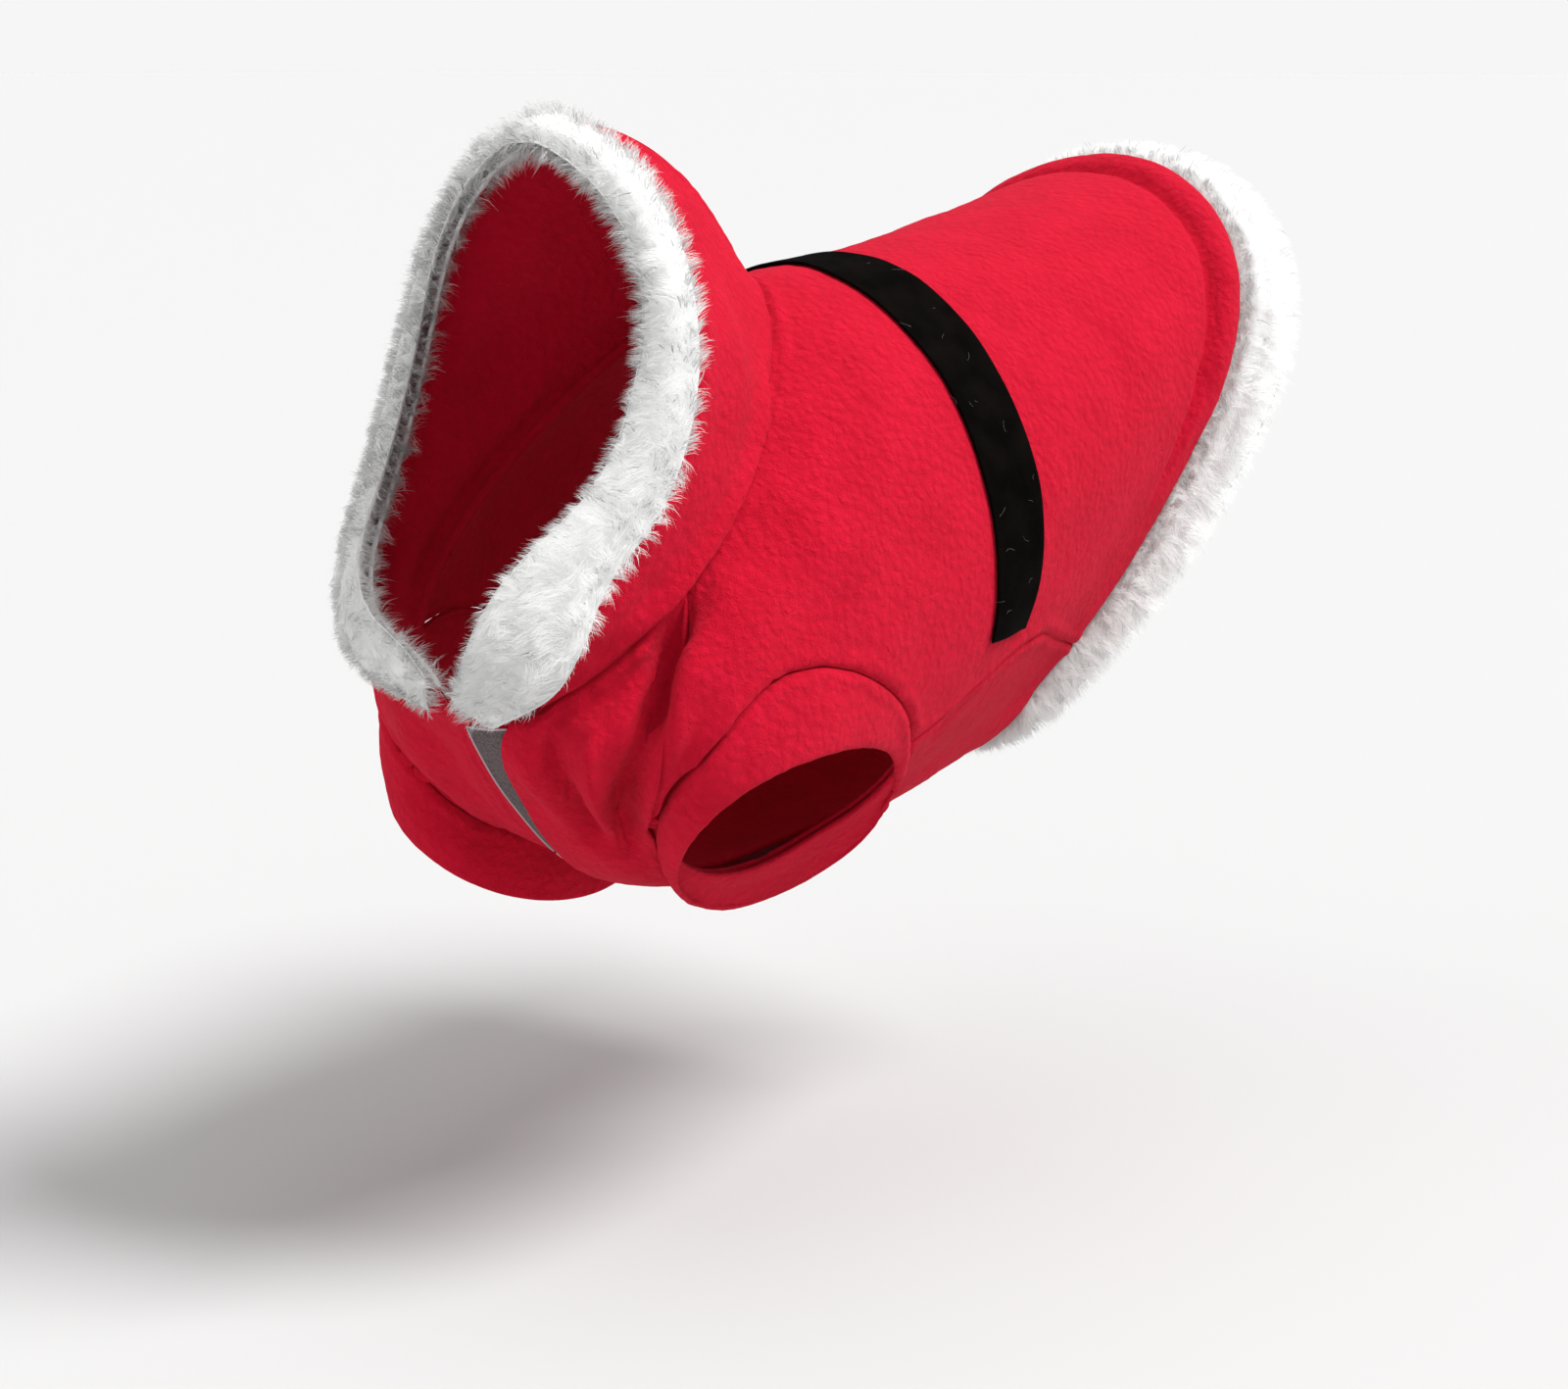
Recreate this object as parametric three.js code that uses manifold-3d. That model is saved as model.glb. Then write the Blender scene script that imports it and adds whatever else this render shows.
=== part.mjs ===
// Dog santa coat: a hooded fleece coat in its worn form, hollow, with nobody in it.
// Millimetres, +Z up. The wearer faces -Y, its left side is +X. The origin is the middle of the
// back neck seam, where the coat hangs on the wearer's shoulders.
import * as THREE from "three";
import { mergeVertices } from "three/addons/utils/BufferGeometryUtils.js";
import Module from "manifold-3d";

const wasm = await Module();
wasm.setup();

// Driving dimensions
const WALL = 2.4; // red fleece
const SEAM = 0.3; // clearance left at every seam
const VELVET = 1.2; // belt
const TAPE = 1.4; // loop side of the hook and loop closure
const BELT_WIDTH = 32;
const BELT_FRONT = 29; // distance of the belt's front edge behind the neck seam, on the spine
const BELT_DRIFT = 10; // how far the belt lies further back at its ends than on the spine
const BELT_END_HEIGHT = -134; // height of the belt's square ends
const TAPE_WIDTH = 19;
const TAPE_EDGE = 0; // the tape's free edge, beside the belly's middle line
const TAPE_START = 0.03; // where the tape starts and ends, as shares of the trunk's length
const TAPE_END = 0.45;
const UNDERLAP = 26; // how far the right front passes under the left front
const LAP = 0.85; // clearance between cloths that lie on each other
const CLOSURE_RISE = WALL + TAPE + 2 * LAP; // the left front lies over the tape
const CLOSURE_RAMP = [52, 28]; // the left front climbs between these distances from the middle
const TRUNK_LENGTH = 290; // from the neck seam to the hem, half way down the side
const TRUNK_ROWS = 22; // rows of the walls from the neck seam to the hem
const SLEEVE_PUFF = 2.5; // how far a sleeve bows out between its seam and its edge
const CUT_INWARD = 60; // how far the armholes' cut reaches in and out from their ovals
const CUT_OUTWARD = 70;
const HEM_PLUSH_GAP = 2.4; // between the two ends of the plush at the hem
const PLUSH_END = 0.5; // how thick the plush is at its ends, as a share
const PLUSH_TAPER = 0.036; // the share of its length over which it thins

// Rings round the trunk from the neck seam to the hem, evenly spaced along it. Each lies in a
// plane from its top point on the spine to its low point on the belly's middle line. half is the
// half width, halfRight that of the right side where it differs, wide the place of the widest
// point along that plane, and up and low are the exponents of the round above and below it: 2 is
// an ellipse, more is squarer.
const TRUNK_RINGS = [
  { topY: 0, topZ: 3, lowY: -150, lowZ: -144, half: 62, wide: 0.6, up: 1.65, low: 2.2 },
  { topY: 24, topZ: 6, lowY: -143, lowZ: -157, half: 80, wide: 0.62, up: 1.9, low: 3 },
  { topY: 52, topZ: 8, lowY: -128, lowZ: -178, half: 91, wide: 0.6, up: 2, low: 2.9 },
  { topY: 84, topZ: 12, lowY: -98, lowZ: -207, half: 96, wide: 0.56, up: 2, low: 2.5 },
  { topY: 118, topZ: 17, lowY: -56, lowZ: -220, half: 97, wide: 0.52, up: 2, low: 2.2 },
  { topY: 152, topZ: 23, lowY: -8, lowZ: -221, half: 96, wide: 0.46, up: 2, low: 2 },
  { topY: 187, topZ: 29, lowY: 42, lowZ: -217, half: 93, wide: 0.4, up: 2, low: 1.85 },
  { topY: 222, topZ: 36, lowY: 92, lowZ: -211, half: 89, wide: 0.35, up: 2, low: 1.7 },
  { topY: 256, topZ: 41, lowY: 140, lowZ: -203, half: 85, wide: 0.31, up: 2, low: 1.62 },
];

// The free edge of the plush round the hem, a ring of the same kind.
const HEM_TRIM_EDGE = {
  topY: 281, topZ: 41, lowY: 159, lowZ: -209, half: 103, halfRight: 91, wide: 0.345, up: 2.1, low: 1.6,
};

// The side seams, by their place along each ring's plane from the spine to the belly.
const SIDE_SEAM = [
  { along: 0.674 },
  { along: 0.865 },
  { along: 0.945 },
  { along: 0.97 },
  { along: 0.83 },
  { along: 0.745 },
  { along: 0.69 },
  { along: 0.75 },
  { along: 0.82 },
];

// The left front's free edge, by its distance from the belly's middle line.
const LEFT_EDGE = [{ off: 20 }, { off: 10 }, { off: 4 }, { off: -2 }, { off: -6 }];

// The largest folds of the fleece: a line from one end to the other in space, its half width and
// its depth, which is negative for a trough.
const FOLDS = [
  { x1: 62, y1: -101, z1: -96, x2: 67, y2: -119, z2: -127, width: 9, depth: -6 },
  { x1: 67, y1: -119, z1: -127, x2: 40, y2: -108, z2: -193, width: 9, depth: -7 },
  { x1: 78, y1: -92, z1: -104, x2: 80, y2: -112, z2: -150, width: 13, depth: 4 },
  { x1: 22, y1: -142, z1: -158, x2: 50, y2: -124, z2: -176, width: 8, depth: 3 },
  { x1: 20, y1: -130, z1: -174, x2: 44, y2: -112, z2: -192, width: 8, depth: -3 },
  { x1: -80, y1: -118, z1: -146, x2: -74, y2: -96, z2: -196, width: 30, depth: 9 },
  { x1: -44, y1: -140, z1: -156, x2: -54, y2: -112, z2: -200, width: 9, depth: 3 },
  { x1: -24, y1: -140, z1: -160, x2: -36, y2: -108, z2: -204, width: 8, depth: -3 },
];

// The short sleeves. The armhole is an oval hole about an axis that points out and down; the
// sleeve's free edge is an oval ring. reach is the half size along Y and rise the half size
// across it, along a line that is tilted up and out by the angle tilt. swing is how far the
// oval's upper end leans back along Y.
const SLEEVES = [
  {
    side: 1, tilt: 47, holeX: 62, holeY: -54, holeZ: -168, holeReach: 60, holeRise: 50, holeSwing: -8,
    edgeX: 62, edgeY: -45, edgeZ: -197, edgeReach: 62, edgeRise: 52, edgeSwing: -20,
  },
  {
    side: -1, tilt: 40, holeX: 68, holeY: -60, holeZ: -170, holeReach: 60, holeRise: 46, holeSwing: -4,
    edgeX: 70, edgeY: -56, edgeZ: -209, edgeReach: 60, edgeRise: 46, edgeSwing: -4,
  },
];

// The two long edges of the plush round the hood's opening, from the throat up to the crown:
// seam is sewn to the hood, free lies towards the face.
const HOOD_TRIM = {
  left: [
    { seamX: 20, seamY: -161, seamZ: -147, freeX: 4, freeY: -164, freeZ: -136 },
    { seamX: 49, seamY: -154, seamZ: -132, freeX: 14, freeY: -168, freeZ: -118 },
    { seamX: 60, seamY: -149, seamZ: -112, freeX: 22, freeY: -169, freeZ: -104 },
    { seamX: 62, seamY: -140, seamZ: -91, freeX: 32, freeY: -160, freeZ: -84 },
    { seamX: 72, seamY: -122, seamZ: -66, freeX: 48, freeY: -134, freeZ: -56 },
    { seamX: 74, seamY: -106, seamZ: -26, freeX: 52, freeY: -118, freeZ: -18 },
    { seamX: 62, seamY: -98, seamZ: 18, freeX: 48, freeY: -114, freeZ: 18 },
    { seamX: 34, seamY: -96, seamZ: 52, freeX: 27, freeY: -116, freeZ: 44 },
    { seamX: 0, seamY: -98, seamZ: 66, freeX: 0, freeY: -120, freeZ: 58 },
  ],
  right: [
    { seamX: -5, seamY: -160, seamZ: -143, freeX: -4, freeY: -164, freeZ: -130 },
    { seamX: -32, seamY: -156, seamZ: -141, freeX: -20, freeY: -160, freeZ: -117 },
    { seamX: -58, seamY: -150, seamZ: -132, freeX: -38, freeY: -162, freeZ: -104 },
    { seamX: -72, seamY: -140, seamZ: -108, freeX: -46, freeY: -155, freeZ: -84 },
    { seamX: -77, seamY: -122, seamZ: -68, freeX: -52, freeY: -134, freeZ: -56 },
    { seamX: -76, seamY: -106, seamZ: -26, freeX: -54, freeY: -118, freeZ: -18 },
    { seamX: -62, seamY: -98, seamZ: 18, freeX: -48, freeY: -114, freeZ: 18 },
    { seamX: -34, seamY: -96, seamZ: 52, freeX: -27, freeY: -116, freeZ: 44 },
    { seamX: 0, seamY: -98, seamZ: 66, freeX: 0, freeY: -120, freeZ: 58 },
  ],
};

const PLUSH_BACK = 1.5; // how far the hood's plush reaches behind its middle surface
const PLUSH_CUT = 0.004; // the share of the hood's plush left open at each end, at the throat
const HOOD_TUCKED = 0.75; // the place on the hood where it passes behind the plush
const HOOD_RIM = 0.7; // the hood's rim, as a share of the plush's width
const HOOD_END = 0.985; // the hood's front corners, as a share of the way to the throat

// The hood between its neck seam and its plush: the point that each line across it bows
// towards, from the middle of the back to the throat, and how far in from the plush's sewn edge
// the hood first passes behind it, as a share of the plush's width.
const HOOD_BOW = [
  { x: 0, y: -34, z: 62, tuck: 0 },
  { x: 31, y: -82, z: 34, tuck: 0 },
  { x: 62, y: -72, z: -10, tuck: 0 },
  { x: 70, y: -92, z: -60, tuck: 0 },
  { x: 66, y: -122, z: -92, tuck: 0.1 },
  { x: 54, y: -144, z: -118, tuck: 0.4 },
  { x: 8, y: -156, z: -141, tuck: 0.55 },
];

const FLEECE = new THREE.MeshStandardMaterial({ color: 0xd61228, roughness: 0.95, metalness: 0 });
const PLUSH = new THREE.MeshStandardMaterial({ color: 0xf4f3f1, roughness: 1, metalness: 0 });
const BLACK_VELVET = new THREE.MeshStandardMaterial({ color: 0x0b0a0c, roughness: 0.9, metalness: 0 });
const LOOP_TAPE = new THREE.MeshStandardMaterial({ color: 0x75696a, roughness: 0.85, metalness: 0 });

const vec = (x, y, z) => new THREE.Vector3(x, y, z);
const clamp01 = (x) => Math.min(1, Math.max(0, x));
const smooth = (x) => x * x * (3 - 2 * x);

// The value of each column at a fraction of the way down a table, on a smooth curve.
function fromTable(rows, fraction) {
  const place = clamp01(fraction) * (rows.length - 1);
  const i = Math.min(Math.floor(place), rows.length - 2);
  const f = place - i;
  const row = {};
  for (const key of Object.keys(rows[0])) {
    const p1 = rows[i][key];
    const p2 = rows[i + 1][key];
    const p0 = i > 0 ? rows[i - 1][key] : 2 * p1 - p2;
    const p3 = i + 2 < rows.length ? rows[i + 2][key] : 2 * p2 - p1;
    row[key] = p1 + 0.5 * f * (p2 - p0 + f * (2 * p0 - 5 * p1 + 4 * p2 - p3 + f * (3 * (p1 - p2) + p3 - p0)));
  }
  return row;
}

// One half of a ring as points from the spine to the belly, with their running length.
function halfRing(ring) {
  const steps = 160;
  const points = [];
  const length = [];
  for (let i = 0; i <= steps; i++) {
    const angle = (Math.PI * i) / steps;
    const power = 2 / (angle < Math.PI / 2 ? ring.up : ring.low);
    const across = Math.sin(angle) ** power;
    const down = Math.abs(Math.cos(angle)) ** power;
    const along = angle < Math.PI / 2 ? ring.wide * (1 - down) : ring.wide + (1 - ring.wide) * down;
    const y = ring.topY + (ring.lowY - ring.topY) * along;
    const z = ring.topZ + (ring.lowZ - ring.topZ) * along;
    points.push(vec(i === steps ? 0 : ring.half * across, y, z));
    length.push(i === 0 ? 0 : length[i - 1] + points[i].distanceTo(points[i - 1]));
  }
  return { points, length, total: length[steps], rightShare: (ring.halfRight ?? ring.half) / ring.half };
}

const ringCache = new Map();
function ringAt(v) {
  const key = v.toFixed(5);
  if (!ringCache.has(key)) ringCache.set(key, halfRing(fromTable(TRUNK_RINGS, v)));
  return ringCache.get(key);
}

// A point of a ring by its share of the way from spine to belly; a negative share is the right
// side, and a share past 1 goes on over the belly's middle line to the other side.
function onRing(ring, share) {
  let a = share;
  if (a > 1) a -= 2;
  if (a < -1) a += 2;
  const want = Math.abs(a) * ring.total;
  let lo = 0;
  let hi = ring.length.length - 1;
  while (hi - lo > 1) {
    const mid = (lo + hi) >> 1;
    if (ring.length[mid] <= want) lo = mid;
    else hi = mid;
  }
  const f = (want - ring.length[lo]) / (ring.length[hi] - ring.length[lo]);
  const p = ring.points[lo].clone().lerp(ring.points[hi], f);
  if (a < 0) p.x *= -ring.rightShare;
  return p;
}

// The outer face of the trunk without folds, and its outward normal.
const trunkBase = (v, a) => onRing(ringAt(v), a);
function trunkNormal(v, a) {
  const step = 0.012;
  const along = trunkBase(Math.min(1, v + step), a).sub(trunkBase(Math.max(0, v - step), a));
  const round = trunkBase(v, a + step).sub(trunkBase(v, a - step));
  return round.cross(along).normalize();
}

// How far the left front is raised where it nears the closure.
function closureLift(v, a) {
  const fromMiddle = (1 - a) * ringAt(v).total;
  return CLOSURE_RISE * smooth(clamp01((CLOSURE_RAMP[0] - fromMiddle) / (CLOSURE_RAMP[0] - CLOSURE_RAMP[1])));
}

function foldHeight(p) {
  let height = 0;
  for (const fold of FOLDS) {
    const line = new THREE.Line3(vec(fold.x1, fold.y1, fold.z1), vec(fold.x2, fold.y2, fold.z2));
    const near = line.closestPointToPoint(p, true, vec(0, 0, 0));
    height += fold.depth * Math.exp(-((near.distanceTo(p) / fold.width) ** 2));
  }
  return height;
}

// The trunk's outer face with its folds, raised by lift; n is the way the wall goes in.
// On the first and last ring the wall stays in the ring's own plane, so that what is sewn on
// there lies wholly on the other side of it.
function trunkSkin(v, a, lift = 0) {
  const p = trunkBase(v, a);
  const n = trunkNormal(v, a);
  const calm = smooth(clamp01(v / 0.06)) * smooth(clamp01((1 - v) / 0.08));
  if (v < 1e-6 || v > 1 - 1e-6) {
    const step = 0.01;
    const round = trunkBase(v, a + step).sub(trunkBase(v, a - step));
    const ring = fromTable(TRUNK_RINGS, v);
    const facing = vec(1, 0, 0).cross(vec(0, ring.lowY - ring.topY, ring.lowZ - ring.topZ));
    n.copy(round.cross(facing).normalize());
    if (n.dot(trunkNormal(v, a)) < 0) n.negate();
  }
  p.addScaledVector(n, lift + calm * foldHeight(p));
  return { p, n };
}

// The share of the way round at which the side seam crosses this ring.
function sideSeam(v) {
  const ring = fromTable(TRUNK_RINGS, v);
  const along = fromTable(SIDE_SEAM, v).along;
  const half = ringAt(v);
  const z = ring.topZ + (ring.lowZ - ring.topZ) * along;
  const i = half.points.findIndex((p) => p.z < z);
  const f = (half.points[i - 1].z - z) / (half.points[i - 1].z - half.points[i].z);
  return (half.length[i - 1] + f * (half.length[i] - half.length[i - 1])) / half.total;
}

// Half of the seam's clearance as a share of the ring, wider where the seam runs slantwise.
function seamGap(v) {
  const step = 0.01;
  const total = ringAt(v).total;
  const turn = sideSeam(Math.min(1, v + step)) - sideSeam(Math.max(0, v - step));
  const slant = (turn * total) / (2 * step * TRUNK_LENGTH);
  return ((SEAM / 2) * Math.hypot(1, slant)) / total;
}

function toGeometry(positions, triangles) {
  let volume = 0;
  const at = (i) => vec(positions[3 * i], positions[3 * i + 1], positions[3 * i + 2]);
  for (let t = 0; t < triangles.length; t += 3) {
    volume += at(triangles[t]).dot(at(triangles[t + 1]).cross(at(triangles[t + 2])));
  }
  if (volume < 0) {
    for (let t = 0; t < triangles.length; t += 3) {
      [triangles[t + 1], triangles[t + 2]] = [triangles[t + 2], triangles[t + 1]];
    }
  }
  const geometry = new THREE.BufferGeometry();
  geometry.setAttribute("position", new THREE.Float32BufferAttribute(positions, 3));
  geometry.setIndex(triangles);
  return geometry;
}

// A closed wall from a grid of skins. skinAt(i, j) gives the outer point and the inner point of
// each place; round joins the last column to the first.
function wallFromGrid(columns, rows, skinAt, round = false) {
  const positions = [];
  const triangles = [];
  const across = round ? columns : columns + 1;
  for (let side = 0; side < 2; side++) {
    for (let j = 0; j <= rows; j++) {
      for (let i = 0; i < across; i++) {
        const point = skinAt(i / columns, j / rows)[side];
        positions.push(point.x, point.y, point.z);
      }
    }
  }
  const layer = across * (rows + 1);
  const index = (side, i, j) => side * layer + j * across + (i % across);
  const quad = (a, b, c, d) => triangles.push(a, b, c, a, c, d);
  for (let j = 0; j < rows; j++) {
    for (let i = 0; i < columns; i++) {
      quad(index(0, i, j), index(0, i + 1, j), index(0, i + 1, j + 1), index(0, i, j + 1));
      quad(index(1, i, j), index(1, i, j + 1), index(1, i + 1, j + 1), index(1, i + 1, j));
    }
  }
  for (let i = 0; i < columns; i++) {
    quad(index(0, i + 1, 0), index(0, i, 0), index(1, i, 0), index(1, i + 1, 0));
    quad(index(0, i, rows), index(0, i + 1, rows), index(1, i + 1, rows), index(1, i, rows));
  }
  if (!round) {
    for (let j = 0; j < rows; j++) {
      quad(index(0, 0, j), index(0, 0, j + 1), index(1, 0, j + 1), index(1, 0, j));
      quad(index(0, columns, j), index(1, columns, j), index(1, columns, j + 1), index(0, columns, j + 1));
    }
  }
  return toGeometry(positions, triangles);
}

function toManifold(geometry) {
  const bare = geometry.clone();
  bare.deleteAttribute("normal");
  bare.deleteAttribute("uv");
  const merged = mergeVertices(bare, 1e-4);
  return new wasm.Manifold(
    new wasm.Mesh({
      numProp: 3,
      vertProperties: Float32Array.from(merged.attributes.position.array),
      triVerts: Uint32Array.from(merged.index.array),
    }),
  );
}

function fromManifold(solid) {
  const mesh = solid.getMesh();
  return toGeometry(Array.from(mesh.vertProperties), Array.from(mesh.triVerts));
}

// The place of a sleeve's oval: its middle and the two directions across it.
function ovalAt(sleeve, part) {
  const tilt = THREE.MathUtils.degToRad(sleeve.tilt);
  return {
    middle: vec(sleeve.side * sleeve[part + "X"], sleeve[part + "Y"], sleeve[part + "Z"]),
    forth: vec(0, 1, 0).multiplyScalar(sleeve[part + "Reach"]),
    up: vec(sleeve.side * Math.cos(tilt), 0, Math.sin(tilt)).multiplyScalar(sleeve[part + "Rise"]),
    swing: sleeve[part + "Swing"],
    axis: vec(sleeve.side * Math.sin(tilt), 0, -Math.cos(tilt)),
  };
}

function ovalPoint(oval, turn, grow = 0) {
  const angle = 2 * Math.PI * turn;
  const f = oval.forth.length() + grow;
  const u = oval.up.length() + grow;
  return oval.middle
    .clone()
    .addScaledVector(oval.forth.clone().normalize(), f * Math.cos(angle))
    .addScaledVector(oval.up.clone().normalize(), u * Math.sin(angle))
    .add(vec(0, oval.swing * Math.sin(angle), 0));
}

// The solid that cuts the armhole.
function armholeCutter(sleeve) {
  const oval = ovalAt(sleeve, "hole");
  return toManifold(
    wallFromGrid(48, 1, (i, j) => {
      const reach = -CUT_INWARD + j * (CUT_INWARD + CUT_OUTWARD);
      const rim = ovalPoint(oval, i, SEAM).addScaledVector(oval.axis, reach);
      return [rim, oval.middle.clone().addScaledVector(oval.axis, reach)];
    }, true),
  );
}

// The place on the trunk's outer face that lies on the oval's own line for this turn.
function armholeSeat(sleeve, oval, turn, guess) {
  const target = ovalPoint(oval, turn);
  const forth = oval.forth.clone().normalize();
  const up = oval.up.clone().normalize();
  const miss = (v, a) => {
    const d = trunkSkin(v, a, sleeve.side > 0 ? closureLift(v, a) : 0).p.sub(target);
    return [d.dot(forth), d.dot(up)];
  };
  let [v, a] = guess;
  const h = 0.002;
  for (let n = 0; n < 30; n++) {
    const [f0, u0] = miss(v, a);
    const [fv, uv] = miss(v + h, a);
    const [fa, ua] = miss(v, a + h);
    const a11 = (fv - f0) / h;
    const a21 = (uv - u0) / h;
    const a12 = (fa - f0) / h;
    const a22 = (ua - u0) / h;
    const det = a11 * a22 - a12 * a21;
    v = Math.min(0.98, Math.max(0.005, v - (0.7 * (f0 * a22 - a12 * u0)) / det));
    a -= (0.7 * (a11 * u0 - a21 * f0)) / det;
  }
  return [v, a];
}

function backPanel(cutters) {
  const wall = wallFromGrid(40, TRUNK_ROWS, (i, v) => {
    const edge = sideSeam(v) - seamGap(v);
    const { p, n } = trunkSkin(v, -edge + 2 * edge * i);
    return [p, p.clone().addScaledVector(n, -WALL)];
  });
  return fromManifold(cutters.reduce((solid, cutter) => solid.subtract(cutter), toManifold(wall)));
}

// A front panel, from its side seam to its free edge at the closure.
function frontPanel(side, cutter) {
  const left = side > 0;
  const wall = wallFromGrid(14, TRUNK_ROWS, (i, v) => {
    const total = ringAt(v).total;
    const start = sideSeam(v) + seamGap(v);
    const edgeOff = left ? fromTable(LEFT_EDGE, v).off : -UNDERLAP;
    const end = 1 - edgeOff / total;
    const a = start + (end - start) * i;
    const { p, n } = trunkSkin(v, side * a, left ? closureLift(v, a) : 0);
    return [p, p.clone().addScaledVector(n, -WALL)];
  });
  return fromManifold(toManifold(wall).subtract(cutter));
}

// A short sleeve: from the armhole seam on the trunk down to its free edge.
function sleeveBand(sleeve) {
  const hole = ovalAt(sleeve, "hole");
  const edge = ovalAt(sleeve, "edge");
  const columns = 44;
  const seats = [];
  let guess = [0.42, sleeve.side * 0.6];
  for (let i = 0; i < columns; i++) {
    const turn = 0.25 + i / columns;
    guess = armholeSeat(sleeve, hole, turn, guess);
    const lift = sleeve.side > 0 ? closureLift(guess[0], guess[1]) : 0;
    seats.push({ p: trunkSkin(guess[0], guess[1], lift).p, turn });
  }
  const outwards = (turn) => ovalPoint(hole, turn, 1).sub(ovalPoint(hole, turn));
  const skinAt = (column, j) => {
    const seat = seats[(column + columns) % columns];
    const out = outwards(seat.turn);
    const start = seat.p.clone().addScaledVector(out, -SEAM / 2);
    return start.lerp(ovalPoint(edge, seat.turn), j).addScaledVector(out, SLEEVE_PUFF * Math.sin(Math.PI * j));
  };
  return wallFromGrid(columns, 4, (i, j) => {
    const column = Math.round(i * columns) % columns;
    const p = skinAt(column, j);
    const around = skinAt(column + 1, j).sub(skinAt(column - 1, j));
    const along = skinAt(column, j + 0.1).sub(skinAt(column, j - 0.1));
    const n = around.cross(along).normalize();
    n.multiplyScalar(Math.sign(n.dot(outwards(seats[column].turn))));
    return [p, p.clone().addScaledVector(n, -WALL)];
  }, true);
}

// The two long edges of the hood's plush at a place from the crown (0) to the throat (1).
function hoodTrimAt(side, fraction) {
  const row = fromTable(side > 0 ? HOOD_TRIM.left : HOOD_TRIM.right, 1 - fraction);
  return { seam: vec(row.seamX, row.seamY, row.seamZ), free: vec(row.freeX, row.freeY, row.freeZ) };
}

// The hood's plush at a place from the crown (0) to the throat (1), with its way out.
function hoodTrimFrame(side, f) {
  const step = 0.01;
  const { seam, free } = hoodTrimAt(side, f);
  const lower = hoodTrimAt(side, Math.min(1, f + step));
  const upper = hoodTrimAt(side, Math.max(0, f - step));
  const run = lower.seam.add(lower.free).sub(upper.seam).sub(upper.free);
  const out = run.cross(free.clone().sub(seam)).normalize().multiplyScalar(-side);
  if (f === 0) out.setX(0).normalize();
  return { seam, free, out };
}

// A point of the hood's outer face, from its neck seam (0) to its rim behind the plush (1).
function hoodPoint(side, f, j) {
  const facing = vec(0, -1, 1).normalize();
  const bow = fromTable(HOOD_BOW, f);
  const { seam, free, out } = hoodTrimFrame(side, f);
  const behind = (share) => seam.clone().lerp(free, share).addScaledVector(out, -PLUSH_BACK - LAP);
  if (j > HOOD_TUCKED) {
    return behind(bow.tuck).lerp(behind(HOOD_RIM), (j - HOOD_TUCKED) / (1 - HOOD_TUCKED));
  }
  const g = j / HOOD_TUCKED;
  const neck = trunkSkin(0, side * Math.max(0.001, f)).p.addScaledVector(facing, SEAM);
  neck.multiplyScalar((1 - g) ** 2).addScaledVector(vec(side * bow.x, bow.y, bow.z), 2 * g * (1 - g));
  return neck.addScaledVector(behind(bow.tuck), g * g);
}

// Half of the hood, from the middle of the back to the throat.
function hoodHalf(side) {
  const seamRegion = 0.06;
  return wallFromGrid(18, 12, (i, j) => {
    const f = HOOD_END * i;
    const p = hoodPoint(side, f, j);
    const step = 0.01;
    const round = hoodPoint(side, Math.min(1, f + step), j).sub(hoodPoint(side, Math.max(0, f - step), j));
    const up = hoodPoint(side, f, Math.min(1, j + step)).sub(hoodPoint(side, f, Math.max(0, j - step)));
    let n = up.cross(round).normalize().multiplyScalar(side);
    if (j === 0) n = trunkSkin(0, side * Math.max(0.001, f)).n;
    if (i === 0) n.setX(0).normalize();
    if (f < seamRegion) p.add(vec((side * SEAM) / 2, 0, 0));
    return [p, p.clone().addScaledVector(n, -WALL)];
  });
}

// Across a plush band, from its sewn edge to its free edge: how thick the pile stands over its
// middle surface and under it.
const PLUSH_SECTION = [
  { along: 0, over: 0.8, under: 2.8 },
  { along: 0.1, over: 5, under: 3 },
  { along: 0.3, over: 9, under: 3.5 },
  { along: 0.6, over: 9.5, under: 3.5 },
  { along: 0.85, over: 7, under: 3 },
  { along: 1, over: 1.5, under: 1.5 },
];

function plushBand(columns, backing, edgeAt) {
  const rows = PLUSH_SECTION.length - 1;
  return wallFromGrid(columns, rows, (i, j) => {
    const { seam, free, out, seamOut } = edgeAt(i);
    const section = PLUSH_SECTION[Math.round(j * rows)];
    const end = PLUSH_END + (1 - PLUSH_END) * clamp01(Math.min(i, 1 - i) / PLUSH_TAPER);
    const p = seam.clone().lerp(free, section.along);
    const way = seamOut.clone().lerp(out, smooth(clamp01(section.along / 0.4))).normalize();
    return [
      p.clone().addScaledVector(way, section.over * end),
      p.clone().addScaledVector(way, -section.under * backing * end),
    ];
  });
}

function hoodTrim() {
  const deepest = Math.max(...PLUSH_SECTION.map((row) => row.under));
  return plushBand(52, PLUSH_BACK / deepest, (i) => {
    const f = 1 - PLUSH_CUT - (1 - 2 * PLUSH_CUT) * i;
    const frame = hoodTrimFrame(f < 0.5 ? 1 : -1, Math.abs(1 - 2 * f));
    return { ...frame, seamOut: frame.out };
  });
}

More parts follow.
